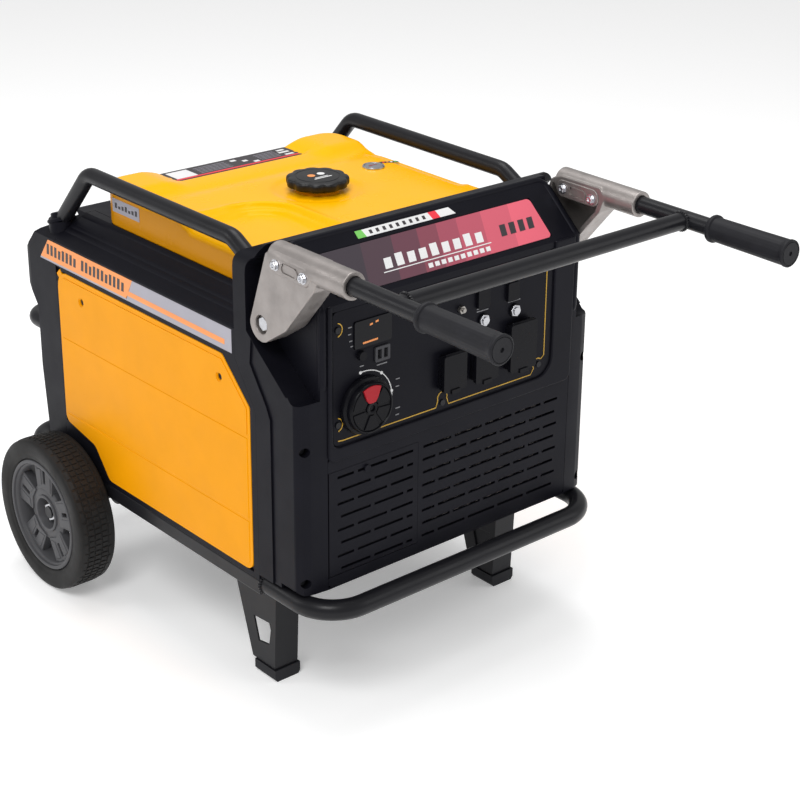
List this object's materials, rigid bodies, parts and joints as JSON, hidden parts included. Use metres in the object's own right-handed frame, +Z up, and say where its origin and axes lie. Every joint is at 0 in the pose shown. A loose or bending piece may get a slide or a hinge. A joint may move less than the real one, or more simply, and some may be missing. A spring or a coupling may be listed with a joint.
{
  "type": "portable generator",
  "caption": "Wheeled inverter generator with a tubular base frame, moulded end caps, side covers, top fuel tank, front socket panel and a fold-down push handle.",
  "frame": {"origin": "floor level, under the middle of the whole machine with its handle up", "axes": "+Z up; -Y towards the control panel and the push handle; +X to the right of a person who faces the control panel"},
  "size_m": [0.7, 1.1247, 0.712],
  "materials": {
    "black_powder_coat": "satin powder coat",
    "black_moulding": "fine moulded texture",
    "panel_face": "semi gloss printed face",
    "display_glass": "gloss window",
    "yellow_cover": "smooth moulded orange-yellow",
    "yellow_tank": "smooth moulded bright yellow",
    "cap_plastic": "fine texture",
    "gauge_plastic": "clear cover over a grey dial",
    "rubber": "matt",
    "tyre": "matt, block tread",
    "rim_plastic": "fine texture",
    "cast_aluminium": "fine blasted",
    "zinc": "bright zinc plate",
    "steel": "heat-tinted steel",
    "copper": "copper windings on a laminated core",
    "nameplate_red": "printed film",
    "battery_case": "moulded case"
  },
  "bodies": {
    "root": {"base_frame": "black_powder_coat", "front_bumper": "black_powder_coat", "rear_bumper": "black_powder_coat", "rear_handle": "black_powder_coat", "leg_left": "black_powder_coat", "leg_right": "black_powder_coat", "rubber_feet": "rubber", "axle": "zinc", "axle_nuts": "zinc", "front_cap": "black_moulding", "rear_cap": "black_moulding", "rear_louvre": "black_moulding", "side_panel_left": "black_moulding", "side_panel_right": "black_moulding", "lifting_rail_left": "black_powder_coat", "lifting_rail_right": "black_powder_coat", "belly_pan": "black_powder_coat", "fuel_tank": "yellow_tank", "fuel_gauge": "gauge_plastic", "control_panel": "panel_face", "display_window": "display_glass", "usb_port": "panel_face", "socket_bodies": "panel_face", "breaker_bodies": "panel_face", "earth_terminal": "zinc", "front_grille": "black_moulding", "nameplate": "nameplate_red", "cap_screws": "black_powder_coat", "pivot_bolts": "zinc", "engine_block": "cast_aluminium", "cylinder_head": "cast_aluminium", "muffler": "steel", "air_cleaner": "black_moulding", "stator": "copper", "inverter_module": "cast_aluminium", "battery": "battery_case", "engine_mounts": "rubber", "service_cover_left": "yellow_cover", "service_cover_right": "yellow_cover"},
    "wheel_left": {"tyre_left": "tyre", "rim_left": "rim_plastic"},
    "wheel_right": {"tyre_right": "tyre", "rim_right": "rim_plastic"},
    "push_handle": {"handle_tube": "black_powder_coat", "handle_bracket_left": "cast_aluminium", "handle_bracket_right": "cast_aluminium", "bracket_bolts": "zinc", "grip_left": "rubber", "grip_right": "rubber"},
    "filler_seal": {"fuel_cap_seal": "rubber"},
    "filler_cap": {"fuel_cap": "cap_plastic"},
    "dial": {"engine_dial": "panel_face"},
    "starter": {"start_button": "panel_face"},
    "lid_1": {"socket_lid_1": "panel_face"},
    "lid_2": {"socket_lid_2": "panel_face"},
    "lid_3": {"socket_lid_3": "panel_face"},
    "breaker_1": {"breaker_button_1": "zinc"},
    "breaker_2": {"breaker_button_2": "zinc"},
    "door": {"battery_door": "black_moulding"},
    "crank": {"crankshaft": "steel"}
  },
  "joints": [
    {"name": "wheel_left_spin", "type": "hinge", "parent": "root", "child": "wheel_left", "pos_m": [-0.318, 0.39175, 0.125], "axis": [1, 0, 0], "continuous": true},
    {"name": "wheel_right_spin", "type": "hinge", "parent": "root", "child": "wheel_right", "pos_m": [0.318, 0.39175, 0.125], "axis": [1, 0, 0], "continuous": true},
    {"name": "handle_fold", "type": "hinge", "parent": "root", "child": "push_handle", "pos_m": [0, -0.11625, 0.59], "axis": [1, 0, 0], "range_deg": [0, 80]},
    {"name": "fuel_cap_lift", "type": "slide", "parent": "root", "child": "filler_seal", "axis": [0, 0, 1], "range_m": [0, 0.06]},
    {"name": "fuel_cap_turn", "type": "hinge", "parent": "filler_seal", "child": "filler_cap", "pos_m": [0.021, 0.14375, 0.665], "axis": [0, 0, 1], "range_deg": [0, 115]},
    {"name": "dial_turn", "type": "hinge", "parent": "root", "child": "dial", "pos_m": [-0.168, -0.19625, 0.47], "axis": [0, -1, 0], "range_deg": [-60, 60]},
    {"name": "start_button_press", "type": "slide", "parent": "root", "child": "starter", "axis": [0, 1, 0], "range_m": [0, 0.003], "stiffness_N_per_m": 300},
    {"name": "socket_lid_1_flip", "type": "hinge", "parent": "root", "child": "lid_1", "pos_m": [-0.012, -0.20575, 0.5065], "axis": [-1, 0, 0], "range_deg": [0, 110], "stiffness_Nm_per_rad": 0.02},
    {"name": "socket_lid_2_flip", "type": "hinge", "parent": "root", "child": "lid_2", "pos_m": [0.0495, -0.20575, 0.5065], "axis": [-1, 0, 0], "range_deg": [0, 110], "stiffness_Nm_per_rad": 0.02},
    {"name": "socket_lid_3_flip", "type": "hinge", "parent": "root", "child": "lid_3", "pos_m": [0.1215, -0.20575, 0.5215], "axis": [-1, 0, 0], "range_deg": [0, 110], "stiffness_Nm_per_rad": 0.02},
    {"name": "breaker_1_press", "type": "slide", "parent": "root", "child": "breaker_1", "axis": [0, 1, 0], "range_m": [0, 0.003], "stiffness_N_per_m": 300},
    {"name": "breaker_2_press", "type": "slide", "parent": "root", "child": "breaker_2", "axis": [0, 1, 0], "range_m": [0, 0.003], "stiffness_N_per_m": 300},
    {"name": "battery_door_open", "type": "hinge", "parent": "root", "child": "door", "pos_m": [-0.15, -0.1945, 0.22375], "axis": [-1, 0, 0], "range_deg": [-60, 0]},
    {"name": "engine_turn", "type": "hinge", "parent": "root", "child": "crank", "pos_m": [0.03, 0.18175, 0.33], "axis": [0, 1, 0], "continuous": true}
  ]
}
